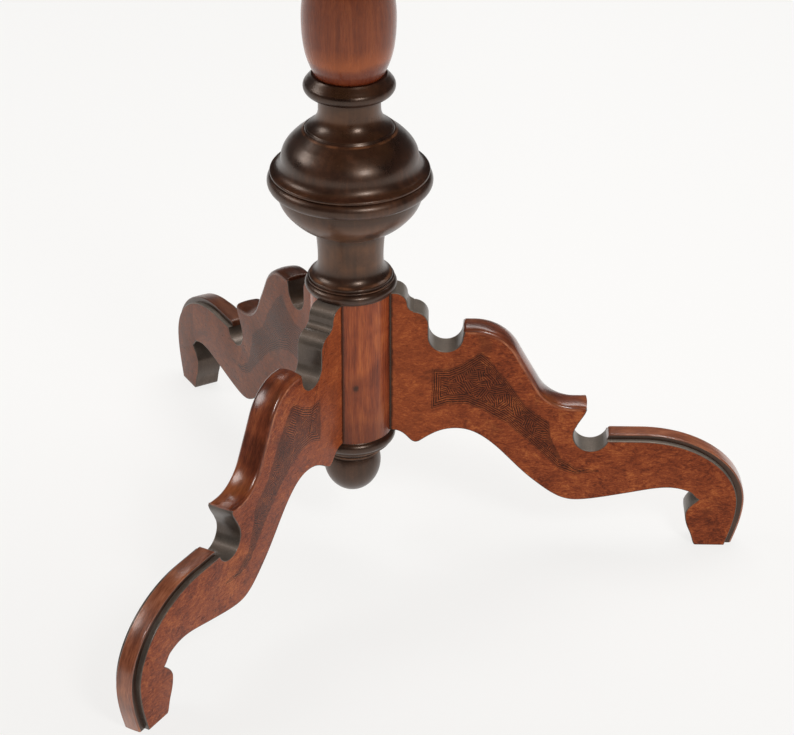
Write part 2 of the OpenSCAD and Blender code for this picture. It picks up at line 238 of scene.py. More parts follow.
def outward_normals(points):
    """Unit normals at the corners of a clockwise outline, pointing out of it."""
    normals = []
    count = len(points)
    for i in range(count):
        a, b, c = Vector(points[i - 1]), Vector(points[i]), Vector(points[(i + 1) % count])
        before, after = (b - a).normalized(), (c - b).normalized()
        along = before + after
        along = along.normalized() if along.length > 1e-6 else before
        normals.append(Vector((-along.y, along.x)))
    return normals


def slab(name, outline, offsets, materials, finish, caps, angle):
    """A plank of the outline, built through sections (s, how far each point moves out).

    finish gives the material of the edge at a level and a point; caps are the two faces' materials.
    """
    normals = outward_normals(outline)
    turn = Matrix.Rotation(math.radians(angle), 3, "Z")
    verts, faces, picks = [], [], []
    count = len(outline)
    for s, move in offsets:
        for i, (r, z) in enumerate(outline):
            d = move(i)
            height = max(z + normals[i].y * d, 0.0)
            verts.append(tuple(turn @ Vector((r + normals[i].x * d, s, height))))
    for level in range(len(offsets) - 1):
        base, above = level * count, (level + 1) * count
        for i in range(count):
            j = (i + 1) % count
            faces.append((base + i, base + j, above + j, above + i))
            picks.append(finish(level, i))
    faces.append(tuple(range(count)))
    picks.append(caps[0])
    faces.append(tuple(range((len(offsets) - 1) * count, len(offsets) * count)))
    picks.append(caps[1])
    return new_object(name, verts, faces, materials, picks)


def settle_order(bm):
    """Order the mesh by position, because a bevel's own order changes from run to run."""
    def corners(element):
        return sorted(v.index for v in element.verts)

    for elements, key in ((bm.verts, lambda v: tuple(v.co)), (bm.edges, corners), (bm.faces, corners)):
        for i, element in enumerate(sorted(elements, key=key)):
            element.index = i
        elements.sort()


def softened(node, material, width, body, slot):
    """A copy of a CAD node with its sharp edges rounded."""
    source = bpy.data.objects[node]
    mesh = source.data.copy()
    mesh.materials.clear()
    mesh.materials.append(material)
    bm = bmesh.new()
    bm.from_mesh(mesh)
    bmesh.ops.remove_doubles(bm, verts=bm.verts, dist=WELD)
    bmesh.ops.dissolve_limit(bm, angle_limit=math.radians(FLAT_DEG), verts=bm.verts, edges=bm.edges)
    limit = math.radians(BEVEL_FROM_DEG)
    sharp = [e for e in bm.edges if len(e.link_faces) == 2 and e.calc_face_angle(0) > limit]
    bmesh.ops.bevel(bm, geom=sharp, offset=width * MM, segments=3, profile=0.5,
                    affect="EDGES", clamp_overlap=True)
    bmesh.ops.triangulate(bm, faces=[f for f in bm.faces if len(f.verts) > 4])
    settle_order(bm)
    bm.to_mesh(mesh)
    bm.free()
    mesh.polygons.foreach_set("use_smooth", [True] * len(mesh.polygons))
    mesh.polygons.foreach_set("material_index", [0] * len(mesh.polygons))
    mesh.set_sharp_from_angle(angle=math.radians(BEVEL_SHARP_DEG))
    obj = bpy.data.objects.new("soft_" + node, mesh)
    bpy.context.scene.collection.objects.link(obj)
    return stand_for(obj, body, slot, node)


# ---- Materials ----

def linear(r, g, b):
    """Scene colour of an 8-bit display colour."""
    def channel(c):
        c /= 255
        return c / 12.92 if c <= 0.04045 else ((c + 0.055) / 1.055) ** 2.4
    return (channel(r), channel(g), channel(b), 1.0)


def scaled(tones, brightness):
    """The tones made darker or lighter, and opaque."""
    return tuple(tuple(c * brightness for c in tone[:3]) + (1,) for tone in tones)


# Tones run from dark to light.
RED_TONES = (linear(104, 42, 22), linear(150, 70, 36), linear(184, 98, 50))
BALUSTER_TONES = (linear(120, 56, 32), linear(142, 70, 39), linear(162, 86, 48))
KNEE_TONES = (linear(84, 40, 26), linear(122, 60, 38), linear(156, 84, 50))
# Lighter tones for the knee's rounded arris: worn polish and a painted highlight line.
ARRIS_TONES = (linear(120, 58, 34), linear(152, 82, 50), linear(190, 120, 82))
# Lighter than the knee's: painted light on the strip's up-facing top.
STRIP_LIT_TONES = (linear(108, 58, 40), linear(146, 84, 58), linear(180, 112, 80))
PINE_TONES = (linear(142, 104, 66), linear(162, 122, 80), linear(178, 140, 96))
EBONY_TONES = (linear(34, 21, 16), linear(53, 33, 24), linear(82, 51, 35))
EDGE_TONES = (linear(30, 24, 20), linear(52, 43, 36), linear(88, 76, 66))
BURL_TONES = (linear(88, 36, 20), linear(128, 57, 30), linear(155, 75, 40), linear(190, 107, 57))
BAND_TONES = (linear(66, 30, 19), linear(106, 48, 27), linear(142, 72, 40))
BRASS_TONES = (linear(112, 82, 44), linear(168, 130, 74), linear(205, 168, 104))

# Wear, marks and painted light.
WARM = (1.0, 0.72, 0.56, 1)
RUBBED_LOW = linear(150, 74, 34)
RUBBED_HIGH = linear(206, 124, 62)
FLOOR_LIGHT_LOW = linear(72, 45, 29)
FLOOR_LIGHT_HIGH = linear(106, 68, 43)
HIGHLIGHT_RING_BROWN = linear(132, 88, 60)
SHEEN_GREY = linear(150, 142, 132)
DUST = linear(150, 128, 108)
FADED_BROWN = linear(78, 54, 34)
STREAK_BROWN = linear(78, 36, 22)
KNOT_BROWN = linear(56, 26, 17)
FLECK_BROWN = linear(62, 30, 20)
CORE_GLOW = linear(186, 96, 52)
INK = linear(30, 18, 13)
CORNER_SHADE_BROWN = linear(34, 20, 14)
CRACK_BROWN = linear(40, 20, 14)
JOINT_BROWN = linear(58, 28, 18)
FOOT_BROWN = linear(84, 38, 24)
HALO_BROWN = linear(112, 50, 28)
HEART_BROWN = linear(52, 26, 18)
BALUSTER_GLOW = linear(186, 98, 46)
BALUSTER_DARK = linear(104, 38, 20)
STRING_WOOD = linear(196, 158, 104)

# Polish of the knees and strips, each leg's edge coat and the grey painted on its up-facing edges as
# sheen;
# the back leg is dull and dark.
POLISH = {"rough": 0.3, "coat": 1.0, "film": 0.22, "rubbed": 0.6}
DULL_POLISH = {"rough": 0.36, "coat": 0.5, "film": 0.26, "rubbed": 0.1}
DULL_SHARE = 0.4
DULL_LEG = "b"
CRACKED_LEG = "c"
# Coat of each leg's edges, and how much grey is painted on their up-facing parts as sheen.
EDGE_COAT_AND_SHEEN = {
    "a": {"coat": 0.15, "grey": 0.62},
    "b": {"coat": 0.15, "grey": 0.40},
    "c": {"coat": 0.45, "grey": 0.32},
}

# Places of marks and of painted light, in millimetres of radius and height.
# Heights of thin orange rings painted as highlights on the fillets and scribed lines.
HIGHLIGHT_RING_HEIGHTS = (98.0, 105.4, 272.0, 276.5, NECK_Z + 0.6, 358.8, 374.0, 414.0, RING_Z0 - 0.4)
# Bands of height painted browner as the light the floor throws up on the pillar.
FLOOR_LIGHT_BANDS = ((284, NECK_Z), (NECK_Z + 3, 352), (422, RING_Z0))
KNOT = (5.0, -36.0, 177.0)
CRACK = ((58, 246), (96, 148))
BAND_W = 30.0
STRING_W = 1.6
UPRIGHT = (1, 1, 0.06)

# The hatched scroll on each face of a leg: its upper and lower lines, ends, pitch and border.
PEN_TOP = [(72, 184.6), (88, 184.6), (100, 190.5), (115.5, 202), (124, 193.5), (137, 177.5), (157, 147),
           (178.5, 129.5), (179.5, 117), (190, 92), (203, 82.5), (226, 79)]
PEN_LOW = [(72, 143), (86, 148.6), (103, 148.8), (120, 141.5), (142, 127), (166, 104.5), (188, 81),
           (203, 75.2), (226, 78.6)]
PEN_SPAN = 250.0
PEN_R0 = 72.0
PEN_R1 = 225.0
PEN_PITCH = 2.0
PEN_PATCH = 115
PEN_BORDER = 8.5


class Shader:
    """A material under construction, with short names for the nodes it uses."""

    def __init__(self, name, matched=False):
        self.matched = matched
        self.material = bpy.data.materials.new(name)
        self.material.use_nodes = True
        self.tree = self.material.node_tree
        self.tree.nodes.clear()
        self.output = self.add("ShaderNodeOutputMaterial")
        self.bsdf = self.add("ShaderNodeBsdfPrincipled")
        self.tree.links.new(self.bsdf.outputs["BSDF"], self.output.inputs["Surface"])

    def add(self, kind, **settings):
        node = self.tree.nodes.new(kind)
        for key, value in settings.items():
            setattr(node, key, value)
        return node

    def feed(self, socket, value):
        if isinstance(value, bpy.types.NodeSocket):
            self.tree.links.new(value, socket)
        else:
            socket.default_value = value

    def set(self, **inputs):
        for key, value in inputs.items():
            self.feed(self.bsdf.inputs[key.replace("_", " ")], value)

    def place(self, angle=0.0, scale=(1, 1, 1), shift=(0, 0, 0)):
        """Object coordinates turned back by angle about Z, mirrored if matched, then stretched."""
        coords = self.add("ShaderNodeTexCoord").outputs["Object"]
        turn = self.add("ShaderNodeMapping")
        self.feed(turn.inputs["Vector"], coords)
        turn.inputs["Rotation"].default_value = (0, 0, -math.radians(angle))
        turned_back = turn.outputs["Vector"]
        if self.matched:
            mirror = self.add("ShaderNodeVectorMath", operation="ABSOLUTE")
            self.feed(mirror.inputs[0], turned_back)
            turned_back = mirror.outputs[0]
        stretch = self.add("ShaderNodeMapping")
        self.feed(stretch.inputs["Vector"], turned_back)
        stretch.inputs["Location"].default_value = shift
        stretch.inputs["Scale"].default_value = scale
        return stretch.outputs["Vector"]

    def noise(self, vector, scale, detail=4.0, rough=0.55, distortion=0.0):
        node = self.add("ShaderNodeTexNoise")
        self.feed(node.inputs["Vector"], vector)
        node.inputs["Scale"].default_value = scale
        node.inputs["Detail"].default_value = detail
        node.inputs["Roughness"].default_value = rough
        node.inputs["Distortion"].default_value = distortion
        return node.outputs["Fac"]

    def cells(self, vector, scale):
        node = self.add("ShaderNodeTexVoronoi")
        self.feed(node.inputs["Vector"], vector)
        node.inputs["Scale"].default_value = scale
        return node.outputs["Distance"]

    def patches(self, vector, scale):
        """A random value from 0 to 1 for each cell."""
        node = self.add("ShaderNodeTexVoronoi")
        self.feed(node.inputs["Vector"], vector)
        node.inputs["Scale"].default_value = scale
        return self.split(node.outputs["Color"])[0]

    def math(self, kind, a, b=0.0, clamp=False):
        node = self.add("ShaderNodeMath", operation=kind, use_clamp=clamp)
        self.feed(node.inputs[0], a)
        self.feed(node.inputs[1], b)
        return node.outputs[0]

    def times(self, a, b, clamp=False):
        return self.math("MULTIPLY", a, b, clamp)

    def plus(self, a, b, clamp=False):
        return self.math("ADD", a, b, clamp)

    def minus(self, a, b):
        return self.math("SUBTRACT", a, b)

    def ramp(self, value, *stops):
        """Colour ramp with stops of (position, colour or grey)."""
        node = self.add("ShaderNodeValToRGB")
        self.feed(node.inputs["Fac"], value)
        ramp = node.color_ramp
        while len(ramp.elements) < len(stops):
            ramp.elements.new(0.5)
        for element, (position, colour) in zip(ramp.elements, stops):
            element.position = position
            element.color = colour if isinstance(colour, tuple) else (colour, colour, colour, 1)
        return node.outputs["Color"]

    def span(self, value, a, b, to_a=0.0, to_b=1.0):
        """Value between a and b carried over to the range to_a to to_b, and kept in it."""
        node = self.add("ShaderNodeMapRange", clamp=True)
        keys = ("Value", "From Min", "From Max", "To Min", "To Max")
        for key, v in zip(keys, (value, a, b, to_a, to_b)):
            self.feed(node.inputs[key], v)
        return node.outputs["Result"]

    def blend(self, *parts):
        """Weighted sum of (value, weight) pairs."""
        total = None
        for value, weight in parts:
            term = self.times(value, weight)
            total = term if total is None else self.plus(total, term)
        return total

    def mix(self, factor, a, b, blend="MIX"):
        node = self.add("ShaderNodeMix", data_type="RGBA", blend_type=blend)
        self.feed(node.inputs[0], factor)
        self.feed(node.inputs[6], a)
        self.feed(node.inputs[7], b)
        return node.outputs[2]

    def bump(self, height, distance, strength=1.0):
        node = self.add("ShaderNodeBump")
        self.feed(node.inputs["Height"], height)
        node.inputs["Distance"].default_value = distance
        node.inputs["Strength"].default_value = strength
        return node.outputs["Normal"]

    def split(self, vector):
        node = self.add("ShaderNodeSeparateXYZ")
        self.feed(node.inputs[0], vector)
        return node.outputs

    def axes(self, angle=0.0):
        """The three coordinates in millimetres, turned back by angle about Z."""
        return self.split(self.place(angle, (1 / MM, 1 / MM, 1 / MM)))


def straight_wood(name, tones, stretch, angle=0.0, seed=0.0, rough=0.24, coat=0.3, bump=0.00005, film=0.14,
                  rubbed=0.0, shade=None, marks=None):
    """Polished wood with straight grain; stretch is small along the grain, tones run dark to light.

    rubbed is how far the polish has gone orange in patches, film the roughness of the polish; grime is a
    function that darkens the wood with painted shade, and marks one that adds features of the one piece.
    """
    s = Shader(name)
    shift = (seed * 3.1, seed * 1.7, seed * 2.3)
    fine = tuple(c * 2.4 for c in stretch)
    cloud = s.noise(s.place(angle, (1, 1, 1), shift), 24, 3, 0.5, 0.6)
    grain = s.noise(s.place(angle, stretch, shift), 170, 6, 0.62, 0.4)
    thread = s.noise(s.place(angle, fine, shift), 420, 3, 0.6)
    tone = s.blend((cloud, 0.34), (grain, 0.42), (thread, 0.24))
    dark, mid, light = tones
    colour = s.ramp(tone, (0.40, dark), (0.50, mid), (0.60, light))
    pores = s.span(s.noise(s.place(angle, fine, shift), 760, 2, 0.5), 0.60, 0.70)
    deep = tuple(c * 0.35 for c in dark[:3]) + (1,)
    colour = s.mix(s.times(pores, 0.40), colour, deep)
    if rubbed:
        patch = s.span(s.noise(s.place(angle, (1, 1, 1), shift), 14, 3, 0.6), 0.52, 0.66)
        colour = s.mix(s.times(patch, rubbed), colour, s.mix(thread, RUBBED_LOW, RUBBED_HIGH))
    if marks:
        colour = marks(s, colour)
    # Painted shade from the function given darkens the wood.
    if shade:
        colour = s.mix(shade(s), colour, deep)
    s.set(Base_Color=colour, Roughness=s.span(grain, 0.3, 0.7, rough - 0.03, rough + 0.08))
    s.set(Coat_Weight=coat, Coat_Roughness=film, Specular_IOR_Level=0.3, Specular_Tint=WARM)
    s.set(Normal=s.bump(s.minus(thread, s.times(pores, 0.6)), bump))
    return s.material


def ebonised(name, angle=0.0, rough=0.30, tones=None, coat=0.12, level=0.65, scuff=0.25, grey=0.0,
             highlight_rings_at=(), bands=(), smudge=0.45):
    """Stained and waxed wood: near black brown, its grain showing, with a bloom of old wax.

    smudge is the strength of the dark upright smudges and grey how much lighter grey is painted on the
    parts that face up as their sheen; bands are ranges of height painted browner as the light from the
    floor, and highlight_rings_at lists the heights of thin orange rings painted as highlights on the
    fillets and scribed lines.
    """
    s = Shader(name)
    wide = s.noise(s.place(angle), 26, 4, 0.55, 0.6)
    grain = s.noise(s.place(angle, (1, 1, 0.09)), 240, 5, 0.6)
    dust = s.noise(s.place(angle), 1100, 3, 0.65)
    tone = s.blend((wide, 0.5), (grain, 0.3), (dust, 0.2))
    deep, warm, worn = tones or EBONY_TONES
    colour = s.ramp(tone, (0.38, deep), (0.52, warm), (0.66, worn))
    # Painted light: browner bands where the floor lights the pillar from below.
    if bands:
        colour = s.mix(floor_light_bands(s, bands), colour, s.mix(grain, FLOOR_LIGHT_LOW, FLOOR_LIGHT_HIGH))
    runs = s.span(s.noise(s.place(angle, (1, 1, 0.12)), 48, 2, 0.4), 0.60, 0.66)
    colour = s.mix(s.times(runs, smudge), colour, deep)
    # Painted highlights: thin orange rings on the fillets and scribed lines.
    if highlight_rings_at:
        colour = s.mix(rings(s, highlight_rings_at), colour, HIGHLIGHT_RING_BROWN)
    specks = s.span(dust, 0.66, 0.74)
    colour = s.mix(s.times(specks, scuff), colour, DUST)
    # Painted light: the parts that face up turn patchy grey as the sheen they catch.
    if grey:
        up = s.split(s.add("ShaderNodeNewGeometry").outputs["Normal"])[2]
        patchy = s.span(s.blend((dust, 0.6), (wide, 0.4)), 0.36, 0.56, 0.65, 1.0)
        up_sheen = s.times(s.span(up, -0.1, 0.75), s.times(patchy, grey))
        colour = s.mix(up_sheen, colour, SHEEN_GREY)
    s.set(Base_Color=colour, Specular_IOR_Level=level, Specular_Tint=WARM)
    s.set(Coat_Weight=coat, Coat_Roughness=0.18)
    s.set(Roughness=s.span(s.blend((wide, 0.7), (dust, 0.3)), 0.35, 0.65, rough - 0.04, rough + 0.12))
    s.set(Normal=s.bump(s.blend((grain, 1.0), (dust, 0.25)), 0.00005))
    return s.material


def edge_height(s, r, points):
    """Height of a given line over r, both in millimetres."""
    node = s.add("ShaderNodeFloatCurve")
    line = node.mapping.curves[0]
    line.points[0].location = (0, points[0][1] / PEN_SPAN)
    line.points[1].location = (1, points[-1][1] / PEN_SPAN)
    for x, y in points:
        line.points.new(x / PEN_SPAN, y / PEN_SPAN).handle_type = "VECTOR"
    node.mapping.update()
    s.feed(node.inputs["Value"], s.math("DIVIDE", r, PEN_SPAN))
    return s.times(node.outputs[0], PEN_SPAN)


def stripes(s, value, pitch, fill):
    """1 on a line of every pitch, 0 between; fill is the lines' share of the pitch."""
    phase = s.math("ABSOLUTE", s.minus(s.math("FRACT", s.math("DIVIDE", value, pitch)), 0.5))
    return s.span(phase, 0.5 - fill * 0.5 - 0.08, 0.5 - fill * 0.5 + 0.08)


def penwork(s, angle):
    """Mask of the hatched scroll drawn on a leg's face, from the leg's own radius and height."""
    axes = s.axes(angle)
    wobble = s.times(s.minus(s.noise(s.place(angle), 60, 2), 0.5), 2.4)
    r = s.plus(axes[0], wobble)
    z = s.plus(axes[2], wobble)
    below_top = s.minus(edge_height(s, r, PEN_TOP), z)
    above_low = s.minus(z, edge_height(s, r, PEN_LOW))
    from_left = s.minus(r, PEN_R0)
    from_lines = s.math("MINIMUM", s.times(below_top, 0.85), s.times(above_low, 0.85))
    nearest = s.math("MINIMUM", from_lines, from_left)
    inside = s.times(s.span(nearest, -0.2, 0.3), s.span(s.minus(PEN_R1, r), -0.3, 0.6))
    border = stripes(s, nearest, PEN_PITCH, 0.5)
    turn = s.times(s.patches(s.place(angle), PEN_PATCH), math.pi)
    woven = s.blend((s.times(r, s.math("COSINE", turn)), 1.0),
                    (s.times(z, s.math("SINE", turn)), 1.0))
    hatch = stripes(s, woven, PEN_PITCH, 0.52)
    in_border = s.minus(1.0, s.span(nearest, PEN_BORDER, PEN_BORDER + 0.8))
    lines = s.plus(s.times(border, in_border),
                   s.times(hatch, s.minus(1.0, in_border)), True)
    broken = s.span(s.noise(s.place(angle), 700, 2), 0.30, 0.48, 0.35, 1.0)
    ink = s.plus(s.times(s.times(lines, broken), 0.86), 0.10)
    return s.times(ink, inside, True)


def burl(name, angle=0.0, seed=0.0, pen=False, crack=False, matched=False, faded=0.0):
    """Figured veneer under polish: cloudy figure, short swirls, knots and fine dark flecks.

    matched lays it as four mirrored quarters inside a banded border; faded is how brown it has gone.
    """
    s = Shader(name, matched)
    shift = (seed * 0.37, seed * 0.53, seed * 0.29)
    base = s.place(angle, (1, 1, 1), shift)
    cloud = s.noise(base, 26, 5, 0.66, 1.8)
    swirl = s.noise(s.place(angle, (1, 1, 2.4), shift), 70, 6, 0.68, 2.4)
    fine = s.noise(s.place(angle, (1, 1, 2.8), shift), 480, 5, 0.72, 0.6)
    tone = s.blend((cloud, 0.30), (swirl, 0.34), (fine, 0.36))
    colour = s.ramp(tone, *zip((0.41, 0.47, 0.53, 0.60), BURL_TONES))
    knots = s.span(s.cells(base, 46), 0.09, 0.02)
    flecks = s.span(s.noise(base, 1200, 3, 0.7), 0.57, 0.66)
    streaks = s.noise(s.place(angle, (0.12, 1, 0.12), shift), 200, 4, 0.6, 0.8)
    colour = s.mix(s.span(streaks, 0.56, 0.68, 0, 0.45), colour, STREAK_BROWN)
    colour = s.mix(s.times(knots, 0.60), colour, KNOT_BROWN)
    colour = s.mix(s.times(flecks, 0.6), colour, FLECK_BROWN)
    height = s.minus(fine, s.times(flecks, 0.5))
    if faded:
        colour = s.mix(faded, colour, FADED_BROWN)
    if pen:
        colour = s.mix(s.span(s.axes(angle)[0], 120, 50, 0, 0.22), colour, CORE_GLOW)
        colour = s.mix(penwork(s, angle), colour, INK)
        # Painted shade in the corner with the core.
        colour = s.mix(face_corner_shade(s, angle), colour, CORNER_SHADE_BROWN)
    if matched:
        colour = banded(s, colour)
    if crack:
        split = crack_line(s, angle)
        colour = s.mix(split, colour, CRACK_BROWN)
        height = s.minus(height, s.times(split, 3.0))
    s.set(Base_Color=colour, Roughness=s.span(swirl, 0.3, 0.7, 0.26, 0.38))
    s.set(Specular_IOR_Level=0.15, Specular_Tint=WARM, Normal=s.bump(height, 0.00005))
    s.set(Coat_Weight=0.05, Coat_Roughness=0.14)
    return s.material


def banded(s, colour):
    """Cross-banded border with a pale string inside it, and hairline joints between the quarters."""
    x, y = s.axes()[:2]
    r = s.math("SQRT", s.plus(s.times(x, x), s.times(y, y)))
    inner = BOARD_R - BAND_W
    joint = s.minus(1.0, s.span(s.math("MINIMUM", x, y), 0.15, 0.45))
    colour = s.mix(s.times(joint, 0.7), colour, JOINT_BROWN)
    grain = s.add("ShaderNodeCombineXYZ")
    s.feed(grain.inputs["X"], s.times(s.math("ARCTAN2", y, x), BOARD_R * MM))
    s.feed(grain.inputs["Y"], s.times(r, 0.06 * MM))
    across = s.noise(grain.outputs[0], 420, 4, 0.6, 0.3)
    band = s.ramp(across, *zip((0.40, 0.52, 0.64), BAND_TONES))
    colour = s.mix(s.span(r, inner, inner + 0.3), colour, band)
    outer = inner + STRING_W
    string = s.times(s.span(r, inner - 0.3, inner), s.span(r, outer + 0.3, outer))
    return s.mix(string, colour, STRING_WOOD)


def face_corner_shade(s, angle):
    """Painted shade on a leg's face, in the corner with the core."""
    axes = s.axes(angle)
    ragged = s.noise(s.place(angle), 170, 3, 0.6)
    reach = s.plus(VENEER_R + 0.6, s.times(ragged, 3.0))
    return s.times(s.span(s.minus(reach, axes[0]), -0.6, 0.8), 0.8)


def crack_line(s, angle):
    """Hair crack in the veneer between two points of the face, in radius and height."""
    axes = s.axes(angle)
    (r0, z0), (r1, z1) = CRACK
    length = math.dist(*CRACK)
    along_r, along_z = (r1 - r0) / length, (z1 - z0) / length
    dr, dz = s.minus(axes[0], r0), s.minus(axes[2], z0)
    along = s.blend((dr, along_r), (dz, along_z))
    across = s.blend((dr, along_z), (dz, -along_r))
    wander = s.times(s.minus(s.noise(s.place(angle), 110, 4), 0.5), 5.0)
    off = s.math("ABSOLUTE", s.plus(across, wander))
    line = s.minus(1.0, s.span(off, 0.12, 0.45))
    faded_ends = s.times(s.span(along, 0, 8), s.span(along, length, length - 12))
    return s.times(line, faded_ends)


def brass(name):
    """Aged brass: cloudy, with fine brushing along x."""
    s = Shader(name)
    wide = s.noise(s.place(), 90, 4, 0.6)
    fine = s.noise(s.place(0, (1, 8, 8)), 500, 3, 0.6)
    tone = s.plus(s.times(wide, 0.7), s.times(fine, 0.3))
    colour = s.ramp(tone, *zip((0.35, 0.5, 0.66), BRASS_TONES))
    s.set(Base_Color=colour, Metallic=1.0, Roughness=s.span(tone, 0.35, 0.65, 0.42, 0.24))
    s.set(Normal=s.bump(fine, 0.00003))
    return s.material


def rings(s, heights):
    """Broken orange rings round the pillar at the heights, painted as highlights on the fillets."""
    z = s.axes()[2]
    total = None
    for height in heights:
        gap = s.math("ABSOLUTE", s.minus(z, height))
        ring = s.minus(1.0, s.span(gap, 0.35, 0.95))
        total = ring if total is None else s.math("MAXIMUM", total, ring)
    return s.times(total, s.span(s.noise(s.place(), 60, 3, 0.6), 0.42, 0.62, 0.08, 0.75))


def floor_light_bands(s, bands):
    """Painted floor light: patchy browner bands of height round the pillar, soft at both ends."""
    z = s.axes()[2]
    total = None
    for low, high in bands:
        band = s.times(s.span(z, low, low + 8), s.span(z, high, high - 8))
        total = band if total is None else s.math("MAXIMUM", total, band)
    return s.times(total, s.span(s.noise(s.place(), 45, 3, 0.6), 0.38, 0.58, 0.35, 0.9))


def core_marks(s, colour):
    """One knot in the core, and the wood darker towards its foot."""
    x, y, z = s.axes()
    wander = s.times(s.minus(s.noise(s.place(), 130, 3), 0.5), 5.0)
    dx = s.plus(s.minus(x, KNOT[0]), wander)
    dz = s.times(s.minus(z, KNOT[2]), 0.7)
    reach = s.math("SQRT", s.plus(s.times(dx, dx), s.times(dz, dz)))
    front = s.span(y, KNOT[1] + 14, KNOT[1] + 6)
    halo = s.times(s.span(reach, 13, 4, 0, 0.55), front)
    heart = s.times(s.span(reach, 3.2, 1.2, 0, 0.9), front)
    colour = s.mix(s.span(z, CORE_Z0 + 60, CORE_Z0, 0, 0.6), colour, FOOT_BROWN)
    colour = s.mix(halo, colour, HALO_BROWN)
    return s.mix(heart, colour, HEART_BROWN)


def baluster_glow(s, colour):
    """An orange band above the baluster's dark foot."""
    z = s.axes()[2]
    ragged = s.times(s.minus(s.noise(s.place(), 40, 3), 0.5), 12)
    level = s.plus(z, ragged)
    above = s.span(level, RING_Z1 + 14, RING_Z1 + 19)
    glow = s.times(above, s.span(level, RING_Z1 + 36, RING_Z1 + 22))
    colour = s.mix(s.times(glow, 0.48), colour, BALUSTER_GLOW)
    return s.mix(s.span(level, RING_Z1 + 20, RING_Z1 + 12, 0, 0.6), colour, BALUSTER_DARK)


def core_corner_shade(s):
    """Painted shade in the core's corners where the legs are let into it."""
    ragged = s.noise(s.place(), 160, 3, 0.6)
    total = None
    for angle in LEG_ANGLES.values():
        axes = s.axes(angle)
        gap = s.minus(s.math("ABSOLUTE", axes[1]), LEG_T / 2)
        reach = s.plus(0.5, s.times(ragged, 2.6))
        near = s.minus(1.0, s.span(s.math("DIVIDE", gap, reach), 0.3, 1.0))
        here = s.times(near, s.span(axes[0], 0, 5))
        total = here if total is None else s.math("MAXIMUM", total, here)
    return s.times(total, 0.85)


def pine(name, brightness, seed):
    """Unpolished pale wood with its grain along y."""
    return straight_wood(name, scaled(PINE_TONES, brightness), (1, 0.05, 1), seed=seed,
                         rough=0.6, coat=0.0)


MAT = {
    # The turned pieces get painted highlight rings and browner bands painted as floor light.
    "ebony": ebonised("ebonised_turned", highlight_rings_at=HIGHLIGHT_RING_HEIGHTS, bands=FLOOR_LIGHT_BANDS, smudge=0.7),
    # The core gets painted shade in the corners by the legs.
    "core": straight_wood("core_red", RED_TONES, UPRIGHT, shade=core_corner_shade, marks=core_marks),
    "baluster": straight_wood("baluster_red", BALUSTER_TONES, UPRIGHT, seed=3.0, marks=baluster_glow),
    "red": straight_wood("red_plain", BALUSTER_TONES, (0.06, 1, 1), seed=5.0, rough=0.36, coat=0.15),
    "pine": pine("pine_small", 1.0, 0.0),
    "brass": brass("aged_brass"),
}


# ---- Turned pieces of the pillar ----

def base_profile():
    return ([(BORE_R, CORE_Z1), (38, CORE_Z1)] + arc(34.0, 266.2, 6.8, 5.2, -54, 66, 26)
            + [(37.0, 271.3), (38.1, 271.7)] + arc(37.8, 272.4, 0.8, 0.7, -50, 80, 8)
            + [(36.8, 273.4)] + arc(35.9, 274.6, 1.3, 1.3, -50, 75, 10)
            + curve((36.2, 275.9), (30.6, 278.4), (28.9, 283), (28.9, 292), 20)
            + curve((28.9, 292), (28.9, 302), (29.8, 310), (31.0, NECK_Z), 14)
            + [(BORE_R, NECK_Z)])


def bowl_lower_profile():
    return ([(BORE_R, NECK_Z), (31.4, NECK_Z), (32.0, NECK_Z + 0.6), (31.9, NECK_Z + 1.6)]
            + curve((31.9, NECK_Z + 1.6), (42, 323.8), (50.4, 331), (57.1, 339.4), 20)
            + curve((57.1, 339.4), (60.8, 344.0), (63.2, 350), (64.0, 356), 14)
            + [(64.2, 358.4), (65.2, 359.4)] + arc(65.8, 366.4, 6.4, 7.0, -80, 78, 30)
            + [(66.8, FLANGE_Z), (BORE_R, FLANGE_Z)])


def bowl_upper_profile():
    return ([(BORE_R, FLANGE_Z), (68.4, FLANGE_Z)] + arc(68.1, 375.5, 1.6, 1.6, -55, 70, 12)
            + curve((67.8, 377.4), (63.6, 378.2), (60.6, 382), (59.9, DOME_Z), 20)
            + curve((59.9, DOME_Z), (59.0, 397), (54.2, 401.9), (48.8, 407.2), 24)
            + curve((48.8, 407.2), (45, 410.4), (42.4, 412.8), (39.8, 414.8), 10)
            + [(39.2, 414.6), (38.8, 415.4), (38.2, 416.2), (37.8, 416.0), (37.4, 416.8)]
            + curve((37.4, 416.8), (32.8, 420.0), (27.4, 424.5), (27.1, 433), 22)
            + curve((27.1, 433), (27.0, 438), (27.0, 441), (27.1, RING_Z0 - 2.2), 8)
            + [(28.2, RING_Z0 - 1.8), (28.8, RING_Z0 - 1.0), (28.6, RING_Z0), (BORE_R, RING_Z0)])


def ring_profile():
    return ([(BORE_R, RING_Z0), (30.0, RING_Z0), (30.6, RING_Z0 + 0.6)]
            + arc(31.8, 455, 8.0, 7.2, -82, 42, 30)
            + curve((37.75, 459.8), (36.4, 461.6), (35, 463), (33.4, RING_Z1 - 1.2), 8)
            + [(32.6, RING_Z1), (BORE_R, RING_Z1)])


def baluster_profile():
    belly, neck, top = (40.4, 517), 23.5, CAPITAL_Z0
    return ([(BORE_R, RING_Z1), (29.9, RING_Z1), (30.4, RING_Z1 + 0.5)]
            + curve((30.4, RING_Z1 + 0.5), (33.4, 475), (40.3, 483), belly, 30)
            + curve(belly, (40.4, 550), (neck, top - 60), (neck, top - 14), 36)
            + curve((neck, top - 14), (neck, top - 8), (25, top - 4), (26, top), 8)
            + [(BORE_R, top)])


